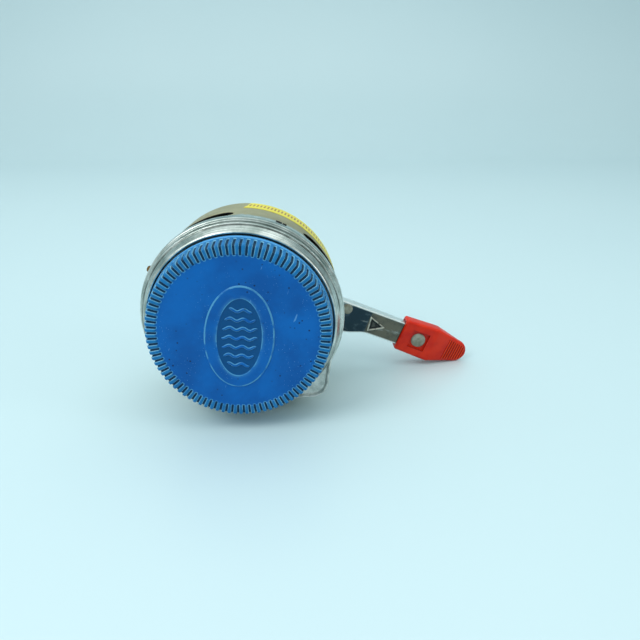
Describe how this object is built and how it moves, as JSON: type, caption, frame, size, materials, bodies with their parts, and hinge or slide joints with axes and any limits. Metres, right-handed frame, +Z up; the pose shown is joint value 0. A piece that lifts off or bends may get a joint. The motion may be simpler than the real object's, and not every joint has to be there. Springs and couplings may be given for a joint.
{
  "type": "automatic fly reel",
  "caption": "Spring-wound fishing reel: ribbed winding cap, stepped housing, windowed drum around a geared line spool, long trigger lever with finger pad, and a reel foot.",
  "frame": {"origin": "middle of the reel foot's flat face, on the main axis", "axes": "+Y along the main axis from the winding cap to the foot; +X on the trigger's side; +Z up"},
  "size_m": [0.1549, 0.0668, 0.0877],
  "materials": {
    "blue_enamel": "satin enamel on a ribbed cap",
    "aluminium": "satin turned aluminium",
    "khaki_paint": "semi-gloss paint",
    "steel": "satin",
    "spring_steel": "blued",
    "brass": "satin",
    "chrome": "bright plated",
    "red_plastic": "semi-gloss moulded",
    "dull_rivet": "oxidised",
    "cork": "pressed cork"
  },
  "bodies": {
    "frame": {"front_housing": "aluminium", "housing_bush": "brass", "centre_shaft": "steel", "retaining_clip": "spring_steel", "gear_plate": "steel", "idler_post_1": "steel", "idler_post_2": "steel", "idler_post_3": "steel", "plate_pillar_1": "aluminium", "plate_pillar_2": "aluminium", "plate_pillar_3": "aluminium", "plate_screw_1": "steel", "plate_screw_2": "steel", "plate_screw_3": "steel", "pawl_pin": "steel", "pawl_spring": "spring_steel", "spool_housing": "khaki_paint", "back_plate": "khaki_paint", "reel_foot": "aluminium", "foot_screw_1": "steel", "foot_screw_2": "steel", "trigger_bracket": "steel", "trigger_pin": "steel", "trigger_spring": "spring_steel", "brake_bracket": "steel", "brake_pin": "steel"},
    "winding_cap_body": {"winding_cap": "blue_enamel", "cap_bush": "brass", "main_spring": "spring_steel", "ratchet_ring": "steel"},
    "arbor_body": {"spring_arbor": "steel", "ring_gear": "brass"},
    "idler_1": {"idler_gear_1": "brass"},
    "idler_2": {"idler_gear_2": "brass"},
    "idler_3": {"idler_gear_3": "brass"},
    "spool_body": {"spool_hub": "aluminium", "spool_front_flange": "aluminium", "spool_rear_flange": "aluminium", "spool_pinion": "steel"},
    "pawl_body": {"pawl": "steel"},
    "trigger_body": {"trigger_lever": "chrome", "root_rivet": "dull_rivet", "finger_pad": "red_plastic", "pad_rivet": "dull_rivet"},
    "brake_arm_body": {"brake_arm": "steel", "brake_shoe": "cork"},
    "plunger_body": {"brake_plunger": "brass"},
    "button_body": {"release_button": "brass"}
  },
  "joints": [
    {"name": "cap_spin", "type": "hinge", "parent": "frame", "child": "winding_cap_body", "pos_m": [0, 0, 0], "axis": [0, 1, 0], "continuous": true},
    {"name": "ring_gear_spin", "type": "hinge", "parent": "frame", "child": "arbor_body", "pos_m": [0, 0, 0], "axis": [0, 1, 0], "continuous": true},
    {"name": "spool_spin", "type": "hinge", "parent": "frame", "child": "spool_body", "pos_m": [0, 0, 0], "axis": [0, 1, 0], "continuous": true},
    {"name": "idler_spin_1", "type": "hinge", "parent": "frame", "child": "idler_1", "pos_m": [0, 0, 0.0144], "axis": [0, 1, 0], "continuous": true},
    {"name": "idler_spin_2", "type": "hinge", "parent": "frame", "child": "idler_2", "pos_m": [-0.01247, 0, -0.0072], "axis": [0, 1, 0], "continuous": true},
    {"name": "idler_spin_3", "type": "hinge", "parent": "frame", "child": "idler_3", "pos_m": [0.01247, 0, -0.0072], "axis": [0, 1, 0], "continuous": true},
    {"name": "pawl_pivot", "type": "hinge", "parent": "frame", "child": "pawl_body", "pos_m": [-0.00432, 0, 0.02452], "axis": [0, 1, 0], "range_deg": [0, 10], "stiffness_Nm_per_rad": 0.01, "springref_deg": -5.73},
    {"name": "trigger_pull", "type": "hinge", "parent": "frame", "child": "trigger_body", "pos_m": [0.03066, -0.00595, -0.0122], "axis": [0.3697, 0, 0.9291], "range_deg": [0, 12], "stiffness_Nm_per_rad": 0.3, "springref_deg": -11.46},
    {"name": "brake_arm_pivot", "type": "hinge", "parent": "frame", "child": "brake_arm_body", "pos_m": [0.02137, -0.0168, -0.0085], "axis": [0.3697, 0, 0.9291], "range_deg": [-12.5, 0]},
    {"name": "brake_plunger_slide", "type": "slide", "parent": "frame", "child": "plunger_body", "axis": [0, -1, 0], "range_m": [0, 0.0011]},
    {"name": "release_button_press", "type": "slide", "parent": "frame", "child": "button_body", "axis": [0.9272, 0, -0.3746], "range_m": [0, 0.0012], "stiffness_N_per_m": 800, "springref_m": -0.001}
  ],
  "couplings": [
    {"joint": "spool_spin", "follows": "ring_gear_spin", "ratio": -3},
    {"joint": "idler_spin_1", "follows": "ring_gear_spin", "ratio": 3},
    {"joint": "idler_spin_2", "follows": "ring_gear_spin", "ratio": 3},
    {"joint": "idler_spin_3", "follows": "ring_gear_spin", "ratio": 3},
    {"joint": "brake_plunger_slide", "follows": "trigger_pull", "m_per_rad": 0.005},
    {"joint": "brake_arm_pivot", "follows": "trigger_pull", "ratio": -1}
  ]
}
